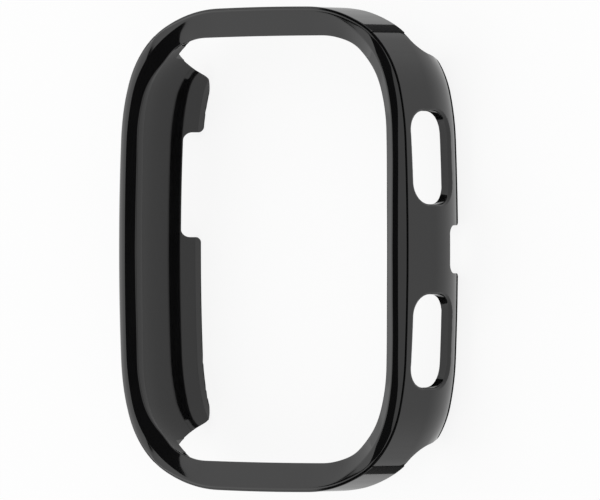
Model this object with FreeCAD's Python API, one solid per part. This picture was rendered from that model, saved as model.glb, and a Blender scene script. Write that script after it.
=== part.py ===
import FreeCAD, Part
import math
import os

# Protective case that snaps round a rectangular smartwatch from the front.
# +X across the case towards the button side, +Y along its length, +Z out of the open front.
# The origin is the centre of the case on the plane of its rear edges. Sizes are millimetres.

# Outline of the side walls, seen from the front: tangent arcs, from the middle of a long side
# to the middle of a short end. The first and last radii follow from the lengths below.
half_width = 20.45
half_length = 24.45
side_shoulder_radius = 24.15
corner_radius = 10.15
end_shoulder_radius = 18.15
outline_turns_deg = [0.0, 3.0, 15.2, 64.0, 88.9, 90.0]

# Front opening: the widths of the band round it, and its own tangent arcs
side_band_width = 2.7
end_band_width = 2.95
opening_side_shoulder_radius = 12.0
opening_corner_radius = 7.4
opening_end_shoulder_radius = 14.2
opening_turns_deg = [0.0, 0.5, 25.5, 74.0, 89.3, 90.0]

# Side wall
wall_depth = 8.9
wall_thickness = 1.1
straight_depth = 3.9
wall_curve_radius = 8.5
rear_edge_radius = 0.3

# Inner face of the left wall, which grows thicker towards its lip. The right wall keeps its thickness.
left_inner_straight_depth = 2.55
left_inner_curve_radius = 8.7

# Front bezel: a domed band, with its underside behind the seam on its inner part.
dome_step = 0.15
seam_slot_height = 0.1
seam_slot_depth = 0.5
crown_rise = 0.77
crown_distance = 1.5
crown_inner_radius = 1.0
inner_slope_deg = 22.5
bezel_inner_thickness = 1.0
tongue_clearance = 0.15
end_wall_depth = 3.6
end_wall_reach = 6.2
corner_wall_depth = 4.75
end_rise_width = 4.2

# Ends of the rails, as places on the outline, and the shoulders where the rails grow deep
rail_end_turn_deg = 55.0
rail_end_clearance = 0.05
right_shoulder_turn_deg = 40.0
right_shoulder_slope_deg = 90.0
right_shoulder_concave_radius = 1.6
right_shoulder_convex_radius = 0.5
left_shoulder_y = 17.0
left_shoulder_slope_deg = 60.0
left_shoulder_concave_radius = 0.5
left_shoulder_convex_radius = 3.0
corner_bevel = 0.8
corner_bevel_turn_deg = 43.0

# Rear lips that hook behind the watch
lip_reach = 3.0
lip_tip_thickness = 0.95
lip_edge_radius = 0.15
left_lip_root_height = 2.29
right_lip_root_height = 1.5

# Windows for the crown and the side button
window_length = 9.3
window_front_gap = 1.2
window_rear_gap = 1.7
window_tilt_deg = 22.0
window_corner_radius = 2.2
window_centre_y = 9.15

# Notches in the rear edges
middle_notch_width = 4.8
middle_notch_depth = 2.5
middle_notch_floor_radius = 0.9
middle_notch_mouth_radius = 0.7
long_notch_low_y = 1.25
long_notch_high_y = 12.0
long_notch_depth = 2.17
long_notch_floor_radius = 0.8
long_notch_mouth_radius = 0.8

# Small radii on the outer edges of the windows and of the right rail's shoulders
window_edge_radius = 0.35
shoulder_edge_radius = 0.3

# One overrun serves every cut, and one margin finds the edges that a cut has left
overrun = 2.0
edge_margin = 0.05

up = FreeCAD.Vector(0, 0, 1)
seam_z = wall_depth
full_turn_deg = 360.0
quarter_turn_deg = 90.0

# Each wall's inner face: its straight depth, its curve's radius and the height of its lip's root
left_face = (left_inner_straight_depth, left_inner_curve_radius, left_lip_root_height)
right_face = (straight_depth, wall_curve_radius - wall_thickness, right_lip_root_height)


def outline_arcs(half_x, half_y, middle_radii, turns_deg):
    """Arcs of one quarter: centre, radius and normal angles in degrees."""
    turns = [math.radians(turn) for turn in turns_deg]
    across = [math.cos(a) - math.cos(b) for a, b in zip(turns, turns[1:])]
    along = [math.sin(b) - math.sin(a) for a, b in zip(turns, turns[1:])]
    left_x = half_x - sum(r * c for r, c in zip(middle_radii, across[1:-1]))
    left_y = half_y - sum(r * s for r, s in zip(middle_radii, along[1:-1]))
    spread = across[0] * along[-1] - across[-1] * along[0]
    first = (left_x * along[-1] - left_y * across[-1]) / spread
    last = (left_y * across[0] - left_x * along[0]) / spread
    radii = [first] + list(middle_radii) + [last]
    arcs = []
    x, y = half_x, 0.0
    for radius, a, b, a_deg, b_deg in zip(radii, turns, turns[1:], turns_deg, turns_deg[1:]):
        centre_x = x - radius * math.cos(a)
        centre_y = y - radius * math.sin(a)
        arcs.append((centre_x, centre_y, radius, a_deg, b_deg))
        x = centre_x + radius * math.cos(b)
        y = centre_y + radius * math.sin(b)
    return arcs


def wall_arcs():
    radii = (side_shoulder_radius, corner_radius, end_shoulder_radius)
    return outline_arcs(half_width, half_length, radii, outline_turns_deg)


def opening_arcs():
    radii = (opening_side_shoulder_radius, opening_corner_radius, opening_end_shoulder_radius)
    half_x = half_width - side_band_width
    half_y = half_length - end_band_width
    return outline_arcs(half_x, half_y, radii, opening_turns_deg)


def full_ring(arcs):
    """The quarter's arcs carried round all four quarters."""
    ring = list(arcs)
    for cx, cy, radius, a, b in arcs:
        ring.append((-cx, cy, radius, 2 * quarter_turn_deg - b, 2 * quarter_turn_deg - a))
        ring.append((-cx, -cy, radius, 2 * quarter_turn_deg + a, 2 * quarter_turn_deg + b))
        ring.append((cx, -cy, radius, full_turn_deg - b, full_turn_deg - a))
    return ring


def clipped(arcs, low_deg, high_deg):
    """The part of a quarter's arcs between two normal angles."""
    kept = [(cx, cy, radius, max(a, low_deg), min(b, high_deg)) for cx, cy, radius, a, b in arcs]
    return [item for item in kept if item[3] < item[4]]


def outline_point(arcs, turn_deg):
    """The outline's point whose normal has this angle."""
    for cx, cy, radius, a, b in arcs:
        if a <= turn_deg <= b:
            turn = math.radians(turn_deg)
            return FreeCAD.Vector(cx + radius * math.cos(turn), cy + radius * math.sin(turn), 0)


def band(ring, edges_of):
    """A solid with one cross-section carried round a ring of tangent arcs.

    edges_of(place) returns the section's edges; place(inset, z) is a point of the section.
    """
    pieces = []
    for cx, cy, radius, start, stop in ring:
        angle = math.radians(start)

        def place(inset, z):
            reach = radius - inset
            return FreeCAD.Vector(cx + reach * math.cos(angle), cy + reach * math.sin(angle), z)

        face = Part.Face(Part.Wire(edges_of(place)))
        pieces.append(face.revolve(FreeCAD.Vector(cx, cy, 0), up, stop - start))
    solid = pieces[0].multiFuse(pieces[1:]).removeSplitter()
    return solid.Solids[0]


def line(place, start, stop):
    return Part.makeLine(place(*start), place(*stop))


def arc(place, start, middle, stop):
    return Part.Arc(place(*start), place(*middle), place(*stop)).toShape()


def polyline(place, points):
    closed = points + points[:1]
    return [line(place, a, b) for a, b in zip(closed, closed[1:])]


def outer_inset(z):
    """Inset of the wall's outer face at height z, where it curves."""
    drop = seam_z - straight_depth - z
    return wall_curve_radius - math.sqrt(wall_curve_radius ** 2 - drop ** 2)


def inner_inset(z, face):
    """Inset of the wall's inner face at height z, where it curves."""
    straight, radius, root_height = face
    drop = seam_z - straight - z
    return wall_thickness + radius - math.sqrt(radius ** 2 - drop ** 2)


def corner_arc(before, corner, after, radius):
    """Three points of the small arc that rounds a section's corner."""
    tip = FreeCAD.Vector(corner[0], corner[1], 0)
    back = (FreeCAD.Vector(before[0], before[1], 0) - tip).normalize()
    on = (FreeCAD.Vector(after[0], after[1], 0) - tip).normalize()
    half = back.getAngle(on) / 2
    reach = radius / math.tan(half)
    middle = tip + (back + on).normalize() * (radius / math.sin(half) - radius)
    start = tip + back * reach
    stop = tip + on * reach
    return [(v.x, v.y) for v in (start, middle, stop)]


def rear_edge_arc():
    """Three points of the arc between the wall's outer curve and the flat of its rear edge."""
    drop = seam_z - straight_depth - rear_edge_radius
    reach = wall_curve_radius - rear_edge_radius
    centre_inset = wall_curve_radius - math.sqrt(reach ** 2 - drop ** 2)
    turn = math.asin(drop / reach)
    half = (turn + math.pi / 2) / 2
    points = []
    for angle in (turn, half, math.pi / 2):
        inset = centre_inset - rear_edge_radius * math.cos(angle)
        points.append((inset, rear_edge_radius * (1 - math.sin(angle))))
    return points


def wall_section(place, face):
    """Wall that curves inwards to the rear, and the lip that hooks behind the watch."""
    straight, radius, root_height = face
    bend_z = seam_z - straight_depth
    inner_bend_z = seam_z - straight
    rear = rear_edge_arc()
    outer_mid_z = (bend_z + rear[0][1]) / 2
    inner_mid_z = (inner_bend_z + root_height) / 2
    root = (inner_inset(root_height, face), root_height)
    tip = (lip_reach, lip_tip_thickness)
    foot = (lip_reach, 0)
    low = corner_arc(rear[2], foot, tip, lip_edge_radius)
    high = corner_arc(foot, tip, root, lip_edge_radius)
    return [
        line(place, (wall_thickness, seam_z), (0, seam_z)),
        line(place, (0, seam_z), (0, bend_z)),
        arc(place, (0, bend_z), (outer_inset(outer_mid_z), outer_mid_z), rear[0]),
        arc(place, *rear),
        line(place, rear[2], low[0]),
        arc(place, *low),
        line(place, low[2], high[0]),
        arc(place, *high),
        line(place, high[2], root),
        arc(place, root, (inner_inset(inner_mid_z, face), inner_mid_z), (wall_thickness, inner_bend_z)),
        line(place, (wall_thickness, inner_bend_z), (wall_thickness, seam_z)),
    ]


def bezel_section(place):
    """Domed front band with a flat seat on the rails and a deeper inner part."""
    slope = math.radians(inner_slope_deg)
    slot_z = seam_z + seam_slot_height
    crown = (crown_distance, seam_z + crown_rise)
    run = crown_distance - dome_step
    rise = crown_rise - seam_slot_height
    dome_radius = (run ** 2 + rise ** 2) / (2 * rise)
    half = math.asin(run / dome_radius) / 2
    dome_mid = (
        crown_distance - dome_radius * math.sin(half),
        crown[1] - dome_radius * (1 - math.cos(half)),
    )
    bend = (
        crown_distance + crown_inner_radius * math.sin(slope),
        crown[1] - crown_inner_radius * (1 - math.cos(slope)),
    )
    bend_mid = (
        crown_distance + crown_inner_radius * math.sin(slope / 2),
        crown[1] - crown_inner_radius * (1 - math.cos(slope / 2)),
    )
    inner = side_band_width + overrun
    inner_top = (inner, bend[1] - (inner - bend[0]) * math.tan(slope))
    tongue = wall_thickness + tongue_clearance
    under_z = inner_height() - bezel_inner_thickness
    return [
        line(place, (tongue, seam_z), (seam_slot_depth, seam_z)),
        line(place, (seam_slot_depth, seam_z), (seam_slot_depth, slot_z)),
        line(place, (seam_slot_depth, slot_z), (dome_step, slot_z)),
        arc(place, (dome_step, slot_z), dome_mid, crown),
        arc(place, crown, bend_mid, bend),
        line(place, bend, inner_top),
        line(place, inner_top, (inner, under_z)),
        line(place, (inner, under_z), (tongue, under_z)),
        line(place, (tongue, under_z), (tongue, seam_z)),
    ]


def inner_height():
    """Height of the bezel's inner edge at the middle of a long side."""
    slope = math.radians(inner_slope_deg)
    bend_inset = crown_distance + crown_inner_radius * math.sin(slope)
    bend_z = seam_z + crown_rise - crown_inner_radius * (1 - math.cos(slope))
    return bend_z - (side_band_width - bend_inset) * math.tan(slope)


def end_wall_section(place):
    """Wall of the short ends, joined to the bezel's deeper inner part."""
    joined = wall_thickness + 2 * tongue_clearance
    under_z = inner_height() - bezel_inner_thickness
    low_z = seam_z - corner_wall_depth
    return polyline(place, [
        (0, seam_z),
        (0, low_z),
        (wall_thickness - corner_bevel, low_z),
        (wall_thickness, low_z + corner_bevel),
        (wall_thickness, under_z),
        (joined, under_z),
        (joined, seam_z),
    ])


def opening_prism():
    """The front opening as a solid."""
    low_z = seam_z - corner_wall_depth
    edges = []
    for cx, cy, radius, a, b in full_ring(opening_arcs()):
        points = []
        for degrees in (a, (a + b) / 2, b):
            angle = math.radians(degrees)
            x = cx + radius * math.cos(angle)
            y = cy + radius * math.sin(angle)
            points.append(FreeCAD.Vector(x, y, low_z))
        edges.append(Part.Arc(*points).toShape())
    wire = Part.Wire(Part.sortEdges(edges)[0])
    return Part.Face(wire).extrude(up * wall_depth)


def side_profile(points, half_x):
    """A closed outline in the Y-Z plane, as a solid from -half_x to +half_x."""
    edges = []
    for kind, place in points:
        vectors = [FreeCAD.Vector(-half_x, y, z) for y, z in place]
        if kind == "arc":
            edges.append(Part.Arc(*vectors).toShape())
        else:
            edges.append(Part.makeLine(*vectors))
    wire = Part.Wire(edges)
    return Part.Face(wire).extrude(FreeCAD.Vector(2 * half_x, 0, 0))


def arc_between(centre, radius, start_deg, stop_deg):
    """Three points of an arc, as (y, z) pairs."""
    angles = [math.radians(a) for a in (start_deg, (start_deg + stop_deg) / 2, stop_deg)]
    return [(centre[0] + radius * math.cos(a), centre[1] + radius * math.sin(a)) for a in angles]


def shoulder_cutter(slope_deg, concave_radius, convex_radius):
    """What is cut off a rail's upper end: a rounded step up to the corner, seen along X."""
    corner_z = seam_z - corner_wall_depth
    span = quarter_turn_deg
    lean = math.tan(math.radians(slope_deg / 2))
    top_y = corner_z / math.tan(math.radians(slope_deg))
    reach = half_length - half_width + corner_radius
    concave_centre = (top_y + concave_radius * lean, corner_z - concave_radius)
    convex_centre = (-convex_radius * lean, convex_radius)
    concave = arc_between(concave_centre, concave_radius, span + slope_deg, span)
    convex = arc_between(convex_centre, convex_radius, -span, slope_deg - span)
    low_y = convex_centre[0] - overrun
    points = [
        ("line", [(low_y, -overrun), (low_y, 0)]),
        ("line", [(low_y, 0), convex[0]]),
        ("arc", convex),
        ("line", [convex[2], concave[0]]),
        ("arc", concave),
        ("line", [concave[2], (reach, corner_z)]),
        ("line", [(reach, corner_z), (reach, -overrun)]),
        ("line", [(reach, -overrun), (low_y, -overrun)]),
    ]
    return side_profile(points, corner_radius / 2)


def right_shoulder_cutter():
    """The right rail's step is cut square to its wall."""
    radii = (right_shoulder_concave_radius, right_shoulder_convex_radius)
    solid = shoulder_cutter(right_shoulder_slope_deg, *radii)
    solid.rotate(FreeCAD.Vector(0, 0, 0), up, right_shoulder_turn_deg)
    solid.translate(outline_point(wall_arcs(), right_shoulder_turn_deg))
    return solid


def left_shoulder_cutter():
    """The left rail's step leans outwards and is cut straight across the case."""
    radii = (left_shoulder_concave_radius, left_shoulder_convex_radius)
    solid = shoulder_cutter(left_shoulder_slope_deg, *radii)
    solid.translate(FreeCAD.Vector(half_width - corner_radius / 2, left_shoulder_y, 0))
    return solid


def corner_bevel_cutter():
    """Wedge along the corner's rear edge, which thins the wall from inside."""
    corner_z = seam_z - corner_wall_depth
    start = wall_thickness - corner_bevel
    far = wall_thickness + overrun

    def section(place):
        return polyline(place, [
            (start, corner_z),
            (start, corner_z - overrun),
            (far, corner_z - overrun),
            (far, corner_z + far - start),
        ])

    return band(clipped(wall_arcs(), corner_bevel_turn_deg, quarter_turn_deg), section)


def wall_inset(point):
    """How far a point of either rail lies inside the outline, square to it."""
    for cx, cy, radius, a, b in wall_arcs():
        offset = FreeCAD.Vector(abs(point.x) - cx, abs(point.y) - cy, 0)
        turn_deg = math.degrees(math.atan2(offset.y, offset.x))
        if a <= turn_deg <= b:
            return radius - offset.Length
    return 0.0


def on_outer_half(point):
    """True where a point of the right wall is nearer its outer face than its inner one."""
    outer = outer_inset(min(point.z, seam_z - straight_depth))
    inner = inner_inset(min(point.z, seam_z - straight_depth), right_face)
    return wall_inset(point) < (outer + inner) / 2


def softened(solid, radius, y_range, z_range):
    """The rail with its outer face's edges in this part of the wall rounded."""
    chosen = []
    for edge in solid.Edges:
        middle = (edge.FirstParameter + edge.LastParameter) / 2
        points = [edge.valueAt(t) for t in (edge.FirstParameter, middle, edge.LastParameter)]
        inside = all(
            y_range[0] <= v.y <= y_range[1] and z_range[0] <= v.z <= z_range[1] for v in points
        )
        if inside and all(on_outer_half(v) for v in points):
            chosen.append(edge)
    try:
        soft = solid.makeFillet(radius, chosen)
    except Part.OCCError:
        return solid
    return soft.Solids[0] if soft.isValid() else solid


def window_cutter(centre_y):
    """A rounded window through the right wall, tilted with the wall's curve."""
    tilt = math.radians(window_tilt_deg)
    low_z = window_rear_gap
    tall = (wall_depth - window_front_gap - window_rear_gap) * math.cos(tilt)
    hinge = FreeCAD.Vector(half_width, centre_y, low_z)
    inside = lip_reach + 2 * overrun
    corner = hinge - FreeCAD.Vector(inside, window_length / 2, 0)
    block = Part.makeBox(inside + 2 * overrun, window_length, tall, corner)
    across = [edge for edge in block.Edges if edge.BoundBox.XLength > lip_reach]
    window = block.makeFillet(window_corner_radius, across)
    window.rotate(hinge, FreeCAD.Vector(0, 1, 0), window_tilt_deg)
    return window


def notch_cutter(low_y, high_y, depth, floor_radius, mouth_radius, side):
    """A notch in a rear edge, with rounded floor corners and flared mouth corners."""
    span = quarter_turn_deg
    left_mouth = low_y - mouth_radius
    right_mouth = high_y + mouth_radius
    floor_z = depth - floor_radius
    points = [
        ("line", [(left_mouth, -overrun), (right_mouth, -overrun)]),
        ("line", [(right_mouth, -overrun), (right_mouth, 0)]),
        ("arc", arc_between((right_mouth, mouth_radius), mouth_radius, -span, -2 * span)),
        ("line", [(high_y, mouth_radius), (high_y, floor_z)]),
        ("arc", arc_between((high_y - floor_radius, floor_z), floor_radius, 0, span)),
        ("line", [(high_y - floor_radius, depth), (low_y + floor_radius, depth)]),
        ("arc", arc_between((low_y + floor_radius, floor_z), floor_radius, span, 2 * span)),
        ("line", [(low_y, floor_z), (low_y, mouth_radius)]),
        ("arc", arc_between((left_mouth, mouth_radius), mouth_radius, 0, -span)),
        ("line", [(left_mouth, 0), (left_mouth, -overrun)]),
    ]
    solid = side_profile([item for item in points if item[1][0] != item[1][-1]], half_width)
    solid.translate(FreeCAD.Vector(side * half_width, 0, 0))
    return solid


def mirrored_in_x(shape):
    return shape.mirror(FreeCAD.Vector(0, 0, 0), FreeCAD.Vector(1, 0, 0))


def mirrored_in_y(shape):
    return shape.mirror(FreeCAD.Vector(0, 0, 0), FreeCAD.Vector(0, 1, 0))


def plain_rail(face, shoulder):
    """A right-hand rail before its openings: wall, rear lip and shoulders."""
    gap_deg = math.degrees(rail_end_clearance / corner_radius)
    quarter = clipped(wall_arcs(), 0, rail_end_turn_deg - gap_deg)
    ring = quarter + [(cx, -cy, radius, -b, -a) for cx, cy, radius, a, b in quarter]
    rail = band(ring, lambda place: wall_section(place, face))
    return rail.cut(shoulder).cut(mirrored_in_y(shoulder))


def bevelled(rail):
    """A right-hand rail with the wedges along its corners cut off."""
    wedge = corner_bevel_cutter()
    return rail.cut(wedge).cut(mirrored_in_y(wedge)).Solids[0]


def soft_shoulders(rail):
    """The rail with its upper shoulder's outer edge rounded."""
    corner_z = seam_z - corner_wall_depth
    place = outline_point(wall_arcs(), right_shoulder_turn_deg)
    low_y = place.y - right_shoulder_convex_radius - overrun
    z_range = (edge_margin, corner_z + edge_margin)
    return softened(rail, shoulder_edge_radius, (low_y, half_length), z_range)


def right_side_rail():
    """Rail with the two windows and the middle notch."""
    rail = plain_rail(right_face, right_shoulder_cutter())
    for side in (1, -1):
        rail = rail.cut(window_cutter(side * window_centre_y))
    half_notch = middle_notch_width / 2
    radii = (middle_notch_floor_radius, middle_notch_mouth_radius)
    notch = notch_cutter(-half_notch, half_notch, middle_notch_depth, *radii, 1)
    rail = rail.cut(notch).removeSplitter().Solids[0]
    half_window = window_length / 2 + edge_margin
    tilt_rise = wall_thickness * math.tan(math.radians(window_tilt_deg))
    window_z = (window_rear_gap - edge_margin, wall_depth - window_front_gap + tilt_rise)
    for side in (1, -1):
        centre_y = side * window_centre_y
        window_y = (centre_y - half_window, centre_y + half_window)
        rail = softened(rail, window_edge_radius, window_y, window_z)
    rail = mirrored_in_y(soft_shoulders(mirrored_in_y(soft_shoulders(rail))))
    return bevelled(rail)


def left_side_rail():
    """Rail with the long notch above its middle."""
    rail = mirrored_in_x(bevelled(plain_rail(left_face, left_shoulder_cutter())))
    radii = (long_notch_floor_radius, long_notch_mouth_radius)
    notch = notch_cutter(long_notch_low_y, long_notch_high_y, long_notch_depth, *radii, -1)
    return rail.cut(notch).removeSplitter().Solids[0]


def strap_curve(poles, side, far_y):
    """The smooth step of an end wall's rear edge, on one side of its middle."""
    curve = Part.BSplineCurve()
    points = [FreeCAD.Vector(side * x, -far_y, z) for x, z in poles]
    curve.buildFromPoles(points if side > 0 else points[::-1])
    return curve.toShape()


def end_wall_keep():
    """Seen along Y, the end walls are shallower in their middle, for the strap."""
    corner_z = seam_z - corner_wall_depth
    strap_z = seam_z - end_wall_depth
    top_z = seam_z + overrun
    rise_x = end_wall_reach + end_rise_width
    blend_x = (end_wall_reach + rise_x) / 2
    half_z = (corner_z + strap_z) / 2
    poles = [
        (end_wall_reach, strap_z),
        (blend_x, strap_z),
        (blend_x, half_z),
        (blend_x, corner_z),
        (rise_x, corner_z),
    ]
    far_y = half_length + overrun
    wide = half_width + overrun
    corners = [
        FreeCAD.Vector(rise_x, -far_y, corner_z),
        FreeCAD.Vector(wide, -far_y, corner_z),
        FreeCAD.Vector(wide, -far_y, top_z),
        FreeCAD.Vector(-wide, -far_y, top_z),
        FreeCAD.Vector(-wide, -far_y, corner_z),
        FreeCAD.Vector(-rise_x, -far_y, corner_z),
    ]
    sides = [Part.makeLine(a, b) for a, b in zip(corners, corners[1:])]
    middle = Part.makeLine(
        FreeCAD.Vector(-end_wall_reach, -far_y, strap_z),
        FreeCAD.Vector(end_wall_reach, -far_y, strap_z),
    )
    right_step = strap_curve(poles, 1, far_y)
    left_step = strap_curve(poles, -1, far_y)
    wire = Part.Wire([middle, right_step] + sides + [left_step])
    return Part.Face(wire).extrude(FreeCAD.Vector(0, 2 * far_y, 0))


def front_bezel():
    """Domed band with the two end walls."""
    body = band(full_ring(wall_arcs()), bezel_section).cut(opening_prism())
    half_turn_deg = 2 * quarter_turn_deg
    ring = clipped(wall_arcs(), rail_end_turn_deg, quarter_turn_deg)
    for cx, cy, radius, a, b in list(ring):
        ring.append((-cx, cy, radius, half_turn_deg - b, half_turn_deg - a))
    upper_end = band(ring, end_wall_section).common(end_wall_keep())
    return body.multiFuse([upper_end, mirrored_in_y(upper_end)]).removeSplitter().Solids[0]


def write(name, shape):
    shape.exportStep(os.path.join("parts", name + ".step"))


os.makedirs("parts", exist_ok=True)
write("front_bezel", front_bezel())
write("right_side_rail", right_side_rail())
write("left_side_rail", left_side_rail())
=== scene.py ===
import bpy
import math
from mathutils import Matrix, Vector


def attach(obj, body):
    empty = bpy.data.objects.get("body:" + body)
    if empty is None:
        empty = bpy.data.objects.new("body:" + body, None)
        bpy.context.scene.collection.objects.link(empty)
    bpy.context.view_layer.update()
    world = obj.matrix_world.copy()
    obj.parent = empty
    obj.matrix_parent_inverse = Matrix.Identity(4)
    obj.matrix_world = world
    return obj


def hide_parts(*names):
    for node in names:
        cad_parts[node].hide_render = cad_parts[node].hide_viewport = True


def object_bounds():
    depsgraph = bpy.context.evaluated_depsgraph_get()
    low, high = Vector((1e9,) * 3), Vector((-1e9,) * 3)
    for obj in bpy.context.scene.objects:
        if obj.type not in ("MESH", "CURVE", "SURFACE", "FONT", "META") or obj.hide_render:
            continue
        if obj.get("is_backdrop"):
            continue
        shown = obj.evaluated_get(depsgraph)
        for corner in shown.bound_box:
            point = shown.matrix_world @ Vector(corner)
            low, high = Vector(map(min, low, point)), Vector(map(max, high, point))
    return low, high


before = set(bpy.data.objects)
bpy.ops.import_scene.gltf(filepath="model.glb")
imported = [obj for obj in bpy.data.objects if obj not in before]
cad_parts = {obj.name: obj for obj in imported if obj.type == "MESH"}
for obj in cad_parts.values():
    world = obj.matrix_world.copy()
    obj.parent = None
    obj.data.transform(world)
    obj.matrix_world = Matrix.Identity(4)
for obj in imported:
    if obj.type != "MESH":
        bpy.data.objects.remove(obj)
start_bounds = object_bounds()

# Lengths are in millimetres and turned into metres where a mesh is made.
mm = 0.001

# Outline of the side walls, as tangent arcs from the middle of a long side to the middle of a short end
half_width = 20.45
half_length = 24.45
wall_radii = (24.15, 10.15, 18.15)
wall_turns_deg = (0.0, 3.0, 15.2, 64.0, 88.9, 90.0)
quarter_deg = 90.0

# Front opening, with its own tangent arcs
side_band_width = 2.7
end_band_width = 2.95
opening_radii = (12.0, 7.4, 14.2)
opening_turns_deg = (0.0, 0.5, 25.5, 74.0, 89.3, 90.0)

# Front band's section: the seam's slot, the steep edge, the dome, and the bend down to the opening
seam_z = 8.9
slot_height = 0.07
slot_depth = 0.5
dome_step = 0.15
dome_edge_width = 0.1
dome_edge_radius = 0.08
dome_start = dome_step + dome_edge_width
plateau_tilt_deg = 1.8
bend_radius = 0.8
under_z = 8.256
tongue_inset = 1.25
edge_radius = 0.15
small_radius = 0.05

# The opening's edge is sharper at the ends
end_inner_radius = 0.06
fade_start_deg = 68.0
fade_stop_deg = 76.0

# Crown of the band round a corner, from the middle of a long side to the middle of a short end
crown_turns_deg = (0.0, 1.3, 2.7, 12.0, 22.0, 40.0, 46.0, 51.0, 60.0, 67.0, 76.0, 90.0)
crown_distances = (1.5, 1.45, 1.33, 1.27, 1.27, 1.22, 1.15, 1.1, 1.0, 0.8, 0.45, 0.45)
crown_rises = (0.77, 0.74, 0.65, 0.53, 0.475, 0.33, 0.27, 0.24, 0.2, 0.2, 0.22, 0.22)
edge_rises = (0.25, 0.25, 0.25, 0.25, 0.15, 0.12, 0.08, 0.05, 0.05, 0.05, 0.05, 0.05)
inner_shifts = (0.0, 0.05, 0.12, 0.25, 0.27, 0.47, 0.5, 0.5, 0.3, 0.15, 0.0, 0.0)
inner_slopes_deg = (22.5, 21.5, 20.0, 18.0, 18.0, 21.0, 21.0, 20.0, 18.0, 18.0, 10.0, 10.0)
plateau_shares = (0.0, 0.0, 0.0, 0.0, 0.0, 0.0, 0.0, 1.0, 1.0, 1.0, 0.0, 0.0)
smoothing_reach = 5

# Side walls, which curve inwards to the rear; the left wall's inner face has its own curve
wall_thickness = 1.1
straight_depth = 3.9
wall_curve_radius = 8.5
left_inner_straight_depth = 2.55
left_inner_curve_radius = 8.7
curve_match_deg = 14.0

# End walls, shallower in their middle for the strap and thinned from inside along their rear edge
joined_inset = 1.4
joined_low_z = 8.3
strap_z = 5.3
corner_z = 4.15
strap_half_width = 6.2
strap_rise_width = 4.2
rail_end_turn_deg = 55.0
end_edge_radius = 0.1
bevel_edge_radius = 0.08
corner_bevel = 0.8
strap_bevel = 0.3
support_gap = 0.15

# Fineness of the meshes
outline_step = 0.22
opening_step = 0.11
dome_count = 22
plateau_count = 4
bend_count = 10
slope_count = 8
corner_count = 4
opening_edge_count = 6
end_top_count = 3
end_rear_count = 5
dome_edge_points = 4
opening_edge_points = 2
sharp_edge_deg = 35.0

# Gloss black plastic: the scales count a pattern's features in a metre
white = (1, 1, 1, 1)
dark_tone = (0.0034, 0.0034, 0.0036, 1)
light_tone = (0.0048, 0.0048, 0.005, 1)
mix_dark_input = 6
mix_light_input = 7
mix_output = 2
plastic_ior = 1.5
cloud_scale = 260.0
cloud_detail = 2.0
cloud_range = (0.3, 0.7)
cloud_roughness = (0.05, 0.07)
scratch_scale = 9000.0
scratch_detail = 3.0
scratch_stretch = (1.0, 0.12, 1.0)
scratch_range = (0.66, 0.8)
scratch_roughness = (0.0, 0.03)
wave_scale = 420.0
wave_detail = 1.0
wave_strength = 0.15
wave_height = 0.01

# Floor and world
floor_reach = 600.0
floor_z = -0.03
floor_tone = (0.92, 0.92, 0.92, 1)
floor_glow_share = 0.85
world_strength = 1.0

# Panels high above the case, seen only by reflections: a dark one over it and a bright one beside it
panel_height = 150.0
panel_z = seam_z + panel_height
panel_edge_x = -135.0
overhead_end_x = 7.0
overhead_half_y = 150.0
side_panel_start_x = -900.0
side_panel_half_y = 700.0
side_panel_strength = 1.3

# Dark strips on the floor under the rails, seen only by reflections: painted contact shadow
card_z = -0.01
contact_insets = (1.35, 3.2)
contact_turn_deg = 45.0
contact_step = 1.0

# Cards on the floor that the walls' corners mirror: painted floor shade, dimmer round the corner, with one
# painted dark strip in the reflection
corner_card_reaches = (0.3, 14.0)
near_turns_deg = (32.0, 38.0, 43.0, 47.0)
near_glow_shares = (1.0, 0.93, 0.85, 0.77)
strip_places_y = (21.7, 22.55)
strip_glow_shares = (0.73, 0.09, 0.09, 0.85)
far_turns_deg = (70.0, 76.0, 84.0)
far_glow_shares = (0.72, 0.6, 0.5)
graded_strength = 1.0

# What the left wall's inner face mirrors: painted floor shade, darker towards the right lips, and a black
# flag that paints the right lip's dark reflection
shade_start_x = 7.0
shade_half_y = 19.0
shade_glow_shares = (1.0, 0.5, 0.5, 1.0)
lip_x = 15.2
lip_flag_half_y = 18.5
lip_flag_low_z = 0.4
lip_flag_high_z = 8.1

# Bright panels inside the windows, seen only by reflections: a painted reflection on the windows' rear
# faces
sill_low_x = 18.2
sill_high_x = 20.1
sill_low_y = 5.7
sill_high_y = 12.8
sill_z = 4.9
sill_strength = 1.15

# Camera: nearly parallel, turned about the case's long axis
view_turn_deg = 44.5
pixels_per_mm = 9.914
lens_px = 10000.0
origin_px = (262.0, 249.28)
frame_px = (600, 500)
sensor_width = 36.0
clip_start = 10.0


def unit(turn_deg):
    """Direction of a normal with this angle."""
    turn = math.radians(turn_deg)
    return math.cos(turn), math.sin(turn)


def outline_arcs(half_x, half_y, middle_radii, turns_deg):
    """Arcs of one quarter: centre, radius and normal angles in degrees."""
    turns = [math.radians(turn) for turn in turns_deg]
    across = [math.cos(a) - math.cos(b) for a, b in zip(turns, turns[1:])]
    along = [math.sin(b) - math.sin(a) for a, b in zip(turns, turns[1:])]
    left_x = half_x - sum(r * c for r, c in zip(middle_radii, across[1:-1]))
    left_y = half_y - sum(r * s for r, s in zip(middle_radii, along[1:-1]))
    spread = across[0] * along[-1] - across[-1] * along[0]
    first = (left_x * along[-1] - left_y * across[-1]) / spread
    last = (left_y * across[0] - left_x * along[0]) / spread
    radii = [first] + list(middle_radii) + [last]
    arcs = []
    x, y = half_x, 0.0
    for radius, a, b, a_deg, b_deg in zip(radii, turns, turns[1:], turns_deg, turns_deg[1:]):
        centre_x = x - radius * math.cos(a)
        centre_y = y - radius * math.sin(a)
        arcs.append((centre_x, centre_y, radius, a_deg, b_deg))
        x = centre_x + radius * math.cos(b)
        y = centre_y + radius * math.sin(b)
    return arcs


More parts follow.
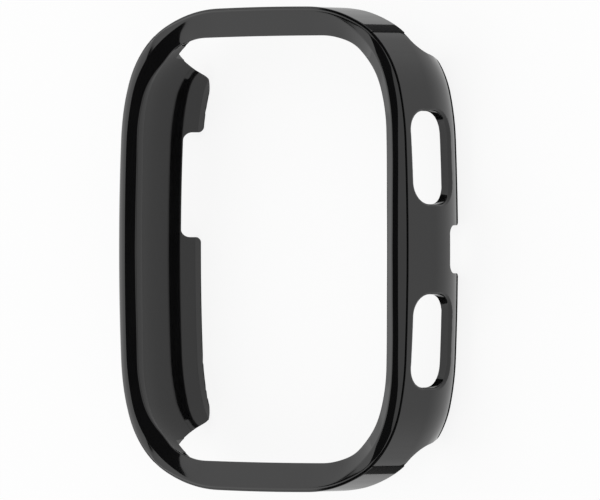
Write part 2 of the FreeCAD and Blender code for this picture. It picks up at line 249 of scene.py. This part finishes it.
wall_arcs = outline_arcs(half_width, half_length, wall_radii, wall_turns_deg)
opening_arcs = outline_arcs(
    half_width - side_band_width, half_length - end_band_width, opening_radii, opening_turns_deg
)


def outline_point(arcs, turn_deg):
    """Point of the first quarter whose normal has this angle."""
    for cx, cy, radius, a, b in arcs:
        if a <= turn_deg <= b:
            nx, ny = unit(turn_deg)
            return cx + radius * nx, cy + radius * ny


def turn_at_y(y):
    """Normal angle of the wall's outline at this distance along the case."""
    for cx, cy, radius, a, b in wall_arcs:
        low_y = cy + radius * unit(a)[1]
        high_y = cy + radius * unit(b)[1]
        if low_y <= y <= high_y:
            return math.degrees(math.asin((y - cy) / radius))


def quarter_turns(arcs, low_deg, high_deg, step):
    """Normal angles along a quarter, close enough together for this step."""
    turns = []
    for cx, cy, radius, a, b in arcs:
        a = max(a, low_deg)
        b = min(b, high_deg)
        if a >= b:
            continue
        count = max(2, math.ceil(radius * math.radians(b - a) / step))
        turns += [a + (b - a) * i / count for i in range(count)]
    return turns + [high_deg]


def stations(arcs, step):
    """Places round the whole outline: point, normal and the quarter's own normal angle."""
    quarter = []
    for turn in quarter_turns(arcs, 0.0, quarter_deg, step):
        quarter.append((*outline_point(arcs, turn), *unit(turn), turn))
    ring = list(quarter)
    ring += [(-x, y, -nx, ny, turn) for x, y, nx, ny, turn in reversed(quarter[:-1])]
    ring += [(-x, -y, -nx, -ny, turn) for x, y, nx, ny, turn in quarter[1:]]
    ring += [(x, -y, nx, -ny, turn) for x, y, nx, ny, turn in reversed(quarter[1:-1])]
    return ring


def inset_to_opening(x, y, nx, ny, edge):
    """Distance from a place on the wall's outline, square to it, to the front opening's edge."""
    best = None
    for (ax, ay), (bx, by) in zip(edge, edge[1:] + edge[:1]):
        a_side = (ay - y) * nx - (ax - x) * ny
        b_side = (by - y) * nx - (bx - x) * ny
        if a_side * b_side > 0 or a_side == b_side:
            continue
        share = a_side / (a_side - b_side)
        px = ax + (bx - ax) * share
        py = ay + (by - ay) * share
        reach = (x - px) * nx + (y - py) * ny
        if reach > 0 and (best is None or reach < best):
            best = reach
    return best


def smooth_share(value, low, high):
    """Share from 0 to 1 that starts and stops gently."""
    share = min(1.0, max(0.0, (value - low) / (high - low)))
    return share * share * (3 - 2 * share)


def rounded_corner(before, corner, after, radius, count):
    """Points of the small arc that rounds a section's corner."""
    ax, ay = before[0] - corner[0], before[1] - corner[1]
    bx, by = after[0] - corner[0], after[1] - corner[1]
    a_length = math.hypot(ax, ay)
    b_length = math.hypot(bx, by)
    ax, ay, bx, by = ax / a_length, ay / a_length, bx / b_length, by / b_length
    half = math.acos(max(-1.0, min(1.0, ax * bx + ay * by))) / 2
    reach = radius / math.tan(half)
    mx, my = ax + bx, ay + by
    m_length = math.hypot(mx, my)
    cx = corner[0] + mx / m_length * radius / math.sin(half)
    cy = corner[1] + my / m_length * radius / math.sin(half)
    start = math.atan2(corner[1] + ay * reach - cy, corner[0] + ax * reach - cx)
    stop = math.atan2(corner[1] + by * reach - cy, corner[0] + bx * reach - cx)
    turn = (stop - start + math.pi) % (2 * math.pi) - math.pi
    points = []
    for i in range(count + 1):
        angle = start + turn * i / count
        points.append((cx + radius * math.cos(angle), cy + radius * math.sin(angle)))
    return points


def table_value(values, turn_deg):
    """Value between the two rows of the crown's table nearest to this turn."""
    for i in range(len(values) - 1):
        low, high = crown_turns_deg[i], crown_turns_deg[i + 1]
        if low <= turn_deg <= high:
            share = (turn_deg - low) / (high - low)
            return values[i] + (values[i + 1] - values[i]) * share


def smoothed(values, reach):
    """Running mean round a closed ring."""
    count = len(values)
    span = range(-reach, reach + 1)
    return [sum(values[(i + k) % count] for k in span) / len(span) for i in range(count)]


def dome_points(dome_inset, top_z, rise):
    """Arc from the top of the steep edge up to the crown."""
    run = dome_inset - dome_start
    radius = (run ** 2 + rise ** 2) / (2 * rise)
    edge_turn = math.acos(1 - rise / radius)
    points = []
    for i in range(dome_count):
        angle = edge_turn * (1 - i / (dome_count - 1))
        inset = dome_inset - radius * math.sin(angle)
        points.append((inset, top_z - radius * (1 - math.cos(angle))))
    return points


def slope_points(start, width, slope, count):
    """Points down a straight slope, after its start."""
    points = []
    for i in range(1, count + 1):
        inset = start[0] + width * i / count
        points.append((inset, start[1] - (inset - start[0]) * math.tan(slope)))
    return points


def bend_points(start, slope):
    """Points of the arc that turns down into a slope, after its start."""
    points = []
    for i in range(1, bend_count + 1):
        angle = slope * i / bend_count
        inset = start[0] + bend_radius * math.sin(angle)
        points.append((inset, start[1] - bend_radius * (1 - math.cos(angle))))
    return points


def band_top(inner, crown):
    """Top of the band as (inset, z) points: steep edge, dome, plateau, bend and slope to the opening."""
    crown_distance, crown_rise, edge_rise, slope_deg, plateau_share = crown
    slope = math.radians(slope_deg)
    plateau = (crown_distance - dome_start - dome_edge_width) * plateau_share
    rise = crown_rise - slot_height - edge_rise
    points = [(dome_step, seam_z + slot_height)]
    points += dome_points(crown_distance - plateau, seam_z + crown_rise, rise)
    points += slope_points(points[-1], plateau, math.radians(plateau_tilt_deg), plateau_count)
    points += bend_points(points[-1], slope)
    points += slope_points(points[-1], inner - points[-1][0], slope, slope_count)
    return points


def band_section(inner, turn_deg, crown):
    """Closed section of the front band as (inset, z) points."""
    top = band_top(inner + crown[-1], crown[:-1])
    kept = top[dome_edge_points + 1:-opening_edge_points]
    foot = (top[-1][0], under_z)
    seat = (tongue_inset, under_z)
    fade = smooth_share(turn_deg, fade_start_deg, fade_stop_deg)
    inner_radius = edge_radius + (end_inner_radius - edge_radius) * fade
    points = [(slot_depth, seam_z), (slot_depth, seam_z + slot_height)]
    points += rounded_corner(points[-1], top[0], top[1], small_radius, corner_count)
    points += rounded_corner(top[0], top[1], top[dome_edge_points], dome_edge_radius, corner_count)
    points += kept
    points += rounded_corner(kept[-1], top[-1], foot, inner_radius, opening_edge_count)
    points += rounded_corner(top[-1], foot, seat, edge_radius, corner_count)
    points += [seat, (tongue_inset, seam_z)]
    return points


def end_section(low_z, bevel):
    """Closed section of an end wall, thinned from inside along its rear edge."""
    top = (0.0, seam_z)
    outer = (0.0, low_z)
    toe = (wall_thickness - bevel, low_z)
    heel = (wall_thickness, low_z + bevel)
    step = (wall_thickness, joined_low_z)
    points = [(joined_inset, seam_z)]
    points += rounded_corner(points[0], top, outer, small_radius, end_top_count)
    points += [(0.0, seam_z - support_gap), (0.0, low_z + support_gap)]
    points += rounded_corner(top, outer, toe, end_edge_radius, end_rear_count)
    points += rounded_corner(outer, toe, heel, bevel_edge_radius, corner_count)
    points += rounded_corner(toe, heel, step, bevel_edge_radius, corner_count)
    points += [step, (joined_inset, joined_low_z)]
    return points


def in_metres(points):
    return [(x * mm, y * mm, z * mm) for x, y, z in points]


def smooth_mesh(name, verts, faces):
    """An object with smooth shading between its sharp edges."""
    mesh = bpy.data.meshes.new(name)
    mesh.from_pydata(in_metres(verts), [], faces)
    mesh.validate()
    mesh.update()
    mesh.polygons.foreach_set("use_smooth", [True] * len(mesh.polygons))
    obj = bpy.data.objects.new(name, mesh)
    bpy.context.collection.objects.link(obj)
    mesh.set_sharp_from_angle(angle=math.radians(sharp_edge_deg))
    return obj


def swept(name, places, sections, closed):
    """A mesh with one section at each place, joined in order."""
    verts = []
    for (x, y, nx, ny, turn), section in zip(places, sections):
        verts += [(x - nx * inset, y - ny * inset, z) for inset, z in section]
    size = len(sections[0])
    count = len(places)
    faces = []
    for i in range(count if closed else count - 1):
        a = i * size
        b = (i + 1) % count * size
        for j in range(size):
            k = (j + 1) % size
            faces.append((a + j, b + j, b + k, a + k))
    if not closed:
        faces.append(tuple(range(size)))
        faces.append(tuple(reversed(range((count - 1) * size, count * size))))
    return smooth_mesh(name, verts, faces)


def front_band():
    """The domed band round the front opening."""
    ring = stations(wall_arcs, outline_step)
    edge = [place[:2] for place in stations(opening_arcs, opening_step)]
    columns = []
    for table in (crown_distances, crown_rises, edge_rises, inner_slopes_deg, plateau_shares, inner_shifts):
        values = [table_value(table, place[-1]) for place in ring]
        columns.append(smoothed(values, smoothing_reach))
    sections = []
    for place, crown in zip(ring, zip(*columns)):
        sections.append(band_section(inset_to_opening(*place[:-1], edge), place[-1], crown))
    return swept("front_bezel_band", ring, sections, True)


def end_wall(name, side):
    """One end wall, from one rail's end to the other's."""
    quarter = []
    for turn in quarter_turns(wall_arcs, rail_end_turn_deg, quarter_deg, outline_step):
        x, y = outline_point(wall_arcs, turn)
        nx, ny = unit(turn)
        quarter.append((x, side * y, nx, side * ny, turn))
    places = quarter + [(-x, y, -nx, ny, turn) for x, y, nx, ny, turn in reversed(quarter[:-1])]
    sections = []
    for place in places:
        share = smooth_share(abs(place[0]), strap_half_width, strap_half_width + strap_rise_width)
        low_z = strap_z + (corner_z - strap_z) * share
        sections.append(end_section(low_z, strap_bevel + (corner_bevel - strap_bevel) * share))
    return swept(name, places, sections, False)


def wall_normals(z, inner_face):
    """Directions (outwards, up) of a wall's outer and inner faces at this height."""
    inner_straight_depth, inner_radius = inner_face
    outer_drop = max(0.0, seam_z - straight_depth - z)
    outer_turn = math.asin(min(1.0, outer_drop / wall_curve_radius))
    inner_drop = max(0.0, seam_z - inner_straight_depth - z)
    inner_turn = math.asin(min(1.0, inner_drop / inner_radius))
    outer = (math.cos(outer_turn), -math.sin(outer_turn))
    inner = (-math.cos(inner_turn), math.sin(inner_turn))
    return outer, inner


def outline_normal(x, y):
    """Normal of the wall's outline through a point of a side wall."""
    for cx, cy, radius, a, b in wall_arcs:
        dx = abs(x) - cx
        dy = abs(y) - cy
        if a <= math.degrees(math.atan2(dy, dx)) <= b:
            reach = math.hypot(dx, dy)
            return math.copysign(dx / reach, x), math.copysign(dy / reach, y)
    return math.copysign(1.0, x), 0.0


def curve_normal(point, flat_normal, inner_face):
    """The wall's exact normal at a point of a face, or nothing where the face isn't the wall's."""
    nx, ny = outline_normal(point.x / mm, point.y / mm)
    for outwards, rise in wall_normals(point.z / mm, inner_face):
        normal = (outwards * nx, outwards * ny, rise)
        match = sum(a * b for a, b in zip(normal, flat_normal))
        if match > math.cos(math.radians(curve_match_deg)):
            return normal


def smooth_rail(name, node, inner_face):
    """A rail with the shape of its node and the exact curve's shading."""
    mesh = node.data.copy()
    piece = bpy.data.objects.new(name, mesh)
    bpy.context.collection.objects.link(piece)
    normals = [loop.normal.copy() for loop in mesh.loops]
    for polygon in mesh.polygons:
        for index in polygon.loop_indices:
            point = mesh.vertices[mesh.loops[index].vertex_index].co
            normal = curve_normal(point, polygon.normal, inner_face)
            if normal:
                normals[index] = normal
    mesh.normals_split_custom_set(normals)
    return piece


def noise(nodes, links, coords, scale, detail):
    """A cloudy pattern between 0 and 1."""
    node = nodes.new("ShaderNodeTexNoise")
    node.inputs["Scale"].default_value = scale
    node.inputs["Detail"].default_value = detail
    links.new(coords, node.inputs["Vector"])
    return node.outputs["Fac"]


def mapped(nodes, links, value, from_range, to_range):
    """A pattern's values moved from one range to another."""
    node = nodes.new("ShaderNodeMapRange")
    node.inputs["From Min"].default_value = from_range[0]
    node.inputs["From Max"].default_value = from_range[1]
    node.inputs["To Min"].default_value = to_range[0]
    node.inputs["To Max"].default_value = to_range[1]
    links.new(value, node.inputs["Value"])
    return node.outputs["Result"]


def math_node(nodes, operation):
    node = nodes.new("ShaderNodeMath")
    node.operation = operation
    return node


def mixed_tone(nodes, links, share):
    """The plastic's colour, between its dark and its light tone."""
    node = nodes.new("ShaderNodeMix")
    node.data_type = "RGBA"
    node.inputs[mix_dark_input].default_value = dark_tone
    node.inputs[mix_light_input].default_value = light_tone
    links.new(share, node.inputs[0])
    return node.outputs[mix_output]


def gloss_plastic():
    """Black gloss plastic with faint moulding waves, uneven gloss and fine handling marks."""
    mat = bpy.data.materials.new("gloss_black_plastic")
    mat.use_nodes = True
    nodes = mat.node_tree.nodes
    links = mat.node_tree.links
    shader = nodes["Principled BSDF"]
    coords = nodes.new("ShaderNodeTexCoord").outputs["Object"]
    stretch = nodes.new("ShaderNodeMapping")
    stretch.inputs["Scale"].default_value = scratch_stretch
    links.new(coords, stretch.inputs["Vector"])
    cloud = noise(nodes, links, coords, cloud_scale, cloud_detail)
    scratch = noise(nodes, links, stretch.outputs["Vector"], scratch_scale, scratch_detail)
    wave = noise(nodes, links, coords, wave_scale, wave_detail)
    links.new(mixed_tone(nodes, links, cloud), shader.inputs["Base Color"])
    roughness = math_node(nodes, "ADD")
    links.new(mapped(nodes, links, cloud, cloud_range, cloud_roughness), roughness.inputs[0])
    links.new(mapped(nodes, links, scratch, scratch_range, scratch_roughness), roughness.inputs[1])
    links.new(roughness.outputs[0], shader.inputs["Roughness"])
    bump = nodes.new("ShaderNodeBump")
    bump.inputs["Strength"].default_value = wave_strength
    bump.inputs["Distance"].default_value = wave_height * mm
    links.new(wave, bump.inputs["Height"])
    links.new(bump.outputs["Normal"], shader.inputs["Normal"])
    shader.inputs["IOR"].default_value = plastic_ior
    return mat


def dress_bezel(plastic):
    """The front band and the two end walls, which ride on the bezel."""
    band = front_band()
    walls = [end_wall("upper_end_wall", 1), end_wall("lower_end_wall", -1)]
    for piece in [band] + walls:
        piece.data.materials.append(plastic)
        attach(piece, "bezel")
        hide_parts("front_bezel")


def dress_rail(name, body, inner_face, plastic):
    """One side rail."""
    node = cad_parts[name]
    node.data.materials.clear()
    node.data.materials.append(plastic)
    piece = smooth_rail("smooth_" + name, node, inner_face)
    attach(piece, body)
    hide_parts(name)


def emission_material(name, strength):
    """Plain white light of this strength."""
    mat = bpy.data.materials.new(name)
    mat.use_nodes = True
    nodes = mat.node_tree.nodes
    nodes.clear()
    out = nodes.new("ShaderNodeOutputMaterial")
    emit = nodes.new("ShaderNodeEmission")
    emit.inputs["Color"].default_value = white
    emit.inputs["Strength"].default_value = strength
    mat.node_tree.links.new(emit.outputs[0], out.inputs["Surface"])
    return mat


def glow_material():
    """Emission whose strength is kept at each corner of the card: painted shade seen only in reflections.
    """
    mat = emission_material("painted_shade_panel", graded_strength)
    nodes = mat.node_tree.nodes
    glow = nodes.new("ShaderNodeAttribute")
    glow.attribute_name = "glow"
    mat.node_tree.links.new(glow.outputs["Fac"], nodes["Emission"].inputs["Strength"])
    return mat


def floor_material():
    """Pale matt floor that reflections see as white and that keeps the object's shadow."""
    mat = bpy.data.materials.new("pale_floor")
    mat.use_nodes = True
    nodes = mat.node_tree.nodes
    links = mat.node_tree.links
    nodes.clear()
    out = nodes.new("ShaderNodeOutputMaterial")
    matt = nodes.new("ShaderNodeBsdfDiffuse")
    matt.inputs["Color"].default_value = floor_tone
    glow = nodes.new("ShaderNodeEmission")
    mix = nodes.new("ShaderNodeMixShader")
    path = nodes.new("ShaderNodeLightPath")
    indirect = math_node(nodes, "ADD")
    total = math_node(nodes, "ADD")
    direct = math_node(nodes, "MULTIPLY")
    direct.inputs[1].default_value = floor_glow_share
    links.new(path.outputs["Is Glossy Ray"], indirect.inputs[0])
    links.new(path.outputs["Is Transmission Ray"], indirect.inputs[1])
    links.new(path.outputs["Is Camera Ray"], direct.inputs[0])
    links.new(indirect.outputs[0], total.inputs[0])
    links.new(direct.outputs[0], total.inputs[1])
    links.new(total.outputs[0], mix.inputs["Fac"])
    links.new(matt.outputs[0], mix.inputs[1])
    links.new(glow.outputs[0], mix.inputs[2])
    links.new(mix.outputs[0], out.inputs["Surface"])
    return mat


def level_corners(low_x, high_x, low_y, high_y, z):
    return [(low_x, low_y, z), (high_x, low_y, z), (high_x, high_y, z), (low_x, high_y, z)]


def floor_plane():
    """The floor that the case lies on."""
    mesh = bpy.data.meshes.new("floor")
    corners = level_corners(-floor_reach, floor_reach, -floor_reach, floor_reach, floor_z)
    mesh.from_pydata(in_metres(corners), [], [(0, 1, 2, 3)])
    mesh.materials.append(floor_material())
    floor = bpy.data.objects.new("floor", mesh)
    bpy.context.collection.objects.link(floor)
    floor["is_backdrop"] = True


def studio_world():
    """Plain white light from all round."""
    world = bpy.data.worlds.new("studio")
    bpy.context.scene.world = world
    world.use_nodes = True
    background = world.node_tree.nodes["Background"]
    background.inputs["Color"].default_value = white
    background.inputs["Strength"].default_value = world_strength


def card(name, corners, faces, material):
    """A flag or panel that only reflections see."""
    mesh = bpy.data.meshes.new(name)
    mesh.from_pydata(in_metres(corners), [], faces)
    mesh.materials.append(material)
    obj = bpy.data.objects.new(name, mesh)
    bpy.context.collection.objects.link(obj)
    obj.visible_camera = False
    obj.visible_diffuse = False
    obj.visible_shadow = False
    obj.visible_transmission = False
    obj.visible_volume_scatter = False
    obj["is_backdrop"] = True
    return obj


def level_card(name, low_x, high_x, low_y, high_y, z, material):
    corners = level_corners(low_x, high_x, low_y, high_y, z)
    return card(name, corners, [(0, 1, 2, 3)], material)


def upright_card(name, x, low_y, high_y, low_z, high_z, material):
    corners = [(x, low_y, low_z), (x, high_y, low_z), (x, high_y, high_z), (x, low_y, high_z)]
    return card(name, corners, [(0, 1, 2, 3)], material)


def strip_face(row):
    """Face between this row and the next of a strip with two points in a row."""
    first = 2 * row
    return first, first + 1, first + 3, first + 2


def set_glow(obj, glows):
    obj.data.attributes.new("glow", "FLOAT", "POINT").data.foreach_set("value", glows)


def painted_contact_shadow(name, side, material):
    """A dark strip under a rail, where it stands on the floor: painted contact shadow that only reflections
    see.
    """
    turns = quarter_turns(wall_arcs, 0.0, contact_turn_deg, contact_step)
    turns = [-turn for turn in reversed(turns[1:])] + turns
    corners = []
    for turn in turns:
        x, y = outline_point(wall_arcs, abs(turn))
        nx, ny = unit(turn)
        for inset in contact_insets:
            corners.append((side * (x - nx * inset), math.copysign(y, turn) - ny * inset, card_z))
    faces = [strip_face(row) for row in range(len(turns) - 1)]
    card(name, corners, faces, material)


def corner_painted_shade(name, side, material):
    """A card on the floor that the wall's corner mirrors: painted shade, dimmer round the corner, with one
    painted dark strip.
    """
    strip_start, strip_stop = [turn_at_y(y) for y in strip_places_y]
    turns = near_turns_deg + (strip_start, strip_start, strip_stop, strip_stop) + far_turns_deg
    corners = []
    glows = []
    for turn, glow in zip(turns, near_glow_shares + strip_glow_shares + far_glow_shares):
        x, y = outline_point(wall_arcs, turn)
        away_x, away_y = unit(2 * turn)
        for reach in corner_card_reaches:
            corners.append((x + reach * away_x, side * (y + reach * away_y), card_z))
            glows.append(glow)
    faces = [strip_face(row) for row in range(len(turns) - 1) if turns[row] != turns[row + 1]]
    set_glow(card(name, corners, faces, material), glows)


def overhead_cards():
    """The dark panel over the case and the bright one beside it."""
    black = emission_material("black_flag", 0.0)
    bright = emission_material("bright_panel", side_panel_strength)
    low_y, high_y = -overhead_half_y, overhead_half_y
    level_card("overhead_flag", panel_edge_x, overhead_end_x, low_y, high_y, panel_z, black)
    low_y, high_y = -side_panel_half_y, side_panel_half_y
    level_card("side_panel", side_panel_start_x, panel_edge_x, low_y, high_y, panel_z, bright)
    return black


def floor_cards(black):
    """What the walls mirror of the floor near them: painted contact shadow, and painted floor shade round
    the corners and towards the right lips.
    """
    # Painted contact shadow under each rail, seen only in reflections
    painted_contact_shadow("right_painted_contact_shadow", 1, black)
    painted_contact_shadow("left_painted_contact_shadow", -1, black)
    graded = glow_material()
    # Painted floor shade and a painted dark strip, seen only in the corners' reflections
    corner_painted_shade("upper_corner_card", 1, graded)
    corner_painted_shade("lower_corner_card", -1, graded)
    # Painted floor shade, darker towards the right lips, seen only in reflections
    shade = level_card("lip_shade", shade_start_x, lip_x, -shade_half_y, shade_half_y, card_z, graded)
    set_glow(shade, shade_glow_shares)


def inner_cards(black):
    """Reflection-only cards: a black flag that paints the right lip's dark reflection in the left wall, and
    bright panels that paint a reflection on the windows' rear faces.
    """
    sill = emission_material("sill_painted_reflection", sill_strength)
    low_y, high_y = -lip_flag_half_y, lip_flag_half_y
    # Black flag seen only by reflections: painted dark reflection of the right lip
    upright_card("lip_flag", lip_x, low_y, high_y, lip_flag_low_z, lip_flag_high_z, black)
    # Bright panels seen only by reflections: painted reflection on the windows' rear faces
    level_card("upper_sill_panel", sill_low_x, sill_high_x, sill_low_y, sill_high_y, sill_z, sill)
    level_card("lower_sill_panel", sill_low_x, sill_high_x, -sill_high_y, -sill_low_y, sill_z, sill)


def photo_camera():
    """The camera at the photograph's place."""
    view_turn = math.radians(view_turn_deg)
    distance = lens_px / pixels_per_mm * mm
    camera = bpy.data.cameras.new("camera")
    camera_object = bpy.data.objects.new("camera", camera)
    bpy.context.collection.objects.link(camera_object)
    bpy.context.scene.camera = camera_object
    camera_object.location = (
        distance * math.sin(view_turn),
        0.0,
        seam_z * mm + distance * math.cos(view_turn),
    )
    camera_object.rotation_euler = (0.0, view_turn, 0.0)
    camera.sensor_fit = "HORIZONTAL"
    camera.sensor_width = sensor_width
    camera.lens = lens_px / frame_px[0] * sensor_width
    camera.clip_start = clip_start * mm
    camera.shift_x = (frame_px[0] / 2 - origin_px[0]) / frame_px[0]
    camera.shift_y = (origin_px[1] - frame_px[1] / 2) / frame_px[0]


plastic_material = gloss_plastic()
right_inner_face = (straight_depth, wall_curve_radius - wall_thickness)
left_inner_face = (left_inner_straight_depth, left_inner_curve_radius)
dress_bezel(plastic_material)
dress_rail("right_side_rail", "right_rail", right_inner_face, plastic_material)
dress_rail("left_side_rail", "left_rail", left_inner_face, plastic_material)
floor_plane()
studio_world()
black_material = overhead_cards()
floor_cards(black_material)
inner_cards(black_material)
photo_camera()

bpy.context.scene.view_settings.view_transform = "Standard"
end_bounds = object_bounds()


def plain(value):
    """Nested lists of plain numbers."""
    if hasattr(value, "__len__"):
        return [plain(item) for item in value]
    return float(value)


{"start": plain(start_bounds), "end": plain(end_bounds)}
